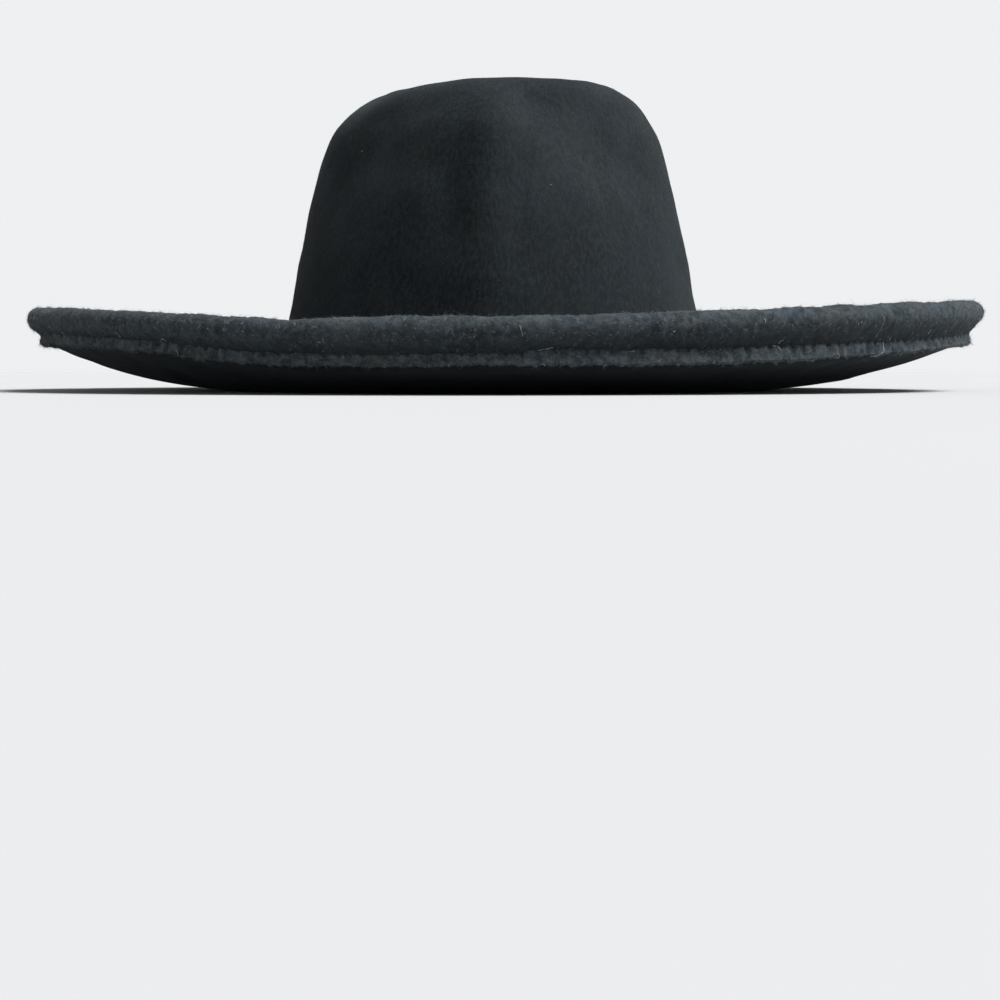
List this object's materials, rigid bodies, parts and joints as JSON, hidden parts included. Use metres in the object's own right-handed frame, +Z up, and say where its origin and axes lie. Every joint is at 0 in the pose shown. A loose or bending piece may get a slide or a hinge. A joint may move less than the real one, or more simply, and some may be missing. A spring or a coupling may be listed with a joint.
{
  "type": "fedora hat",
  "caption": "Wide-brimmed soft felt hat with a pinched crown and a turned-up brim whose edge is rolled over and sewn down, open underneath for a head.",
  "frame": {"origin": "middle of the hat's box, on the plane that the brim rests on", "axes": "+Z up through the crown, -Y to the front of the hat, +X to the wearer's left"},
  "size_m": [0.37, 0.4, 0.118],
  "materials": {
    "felt": "black wool felt, matt and faintly blue, with a raised nap that is thickest on the rolled edge"
  },
  "bodies": {
    "root": {"felt_body": "felt"}
  },
  "joints": []
}
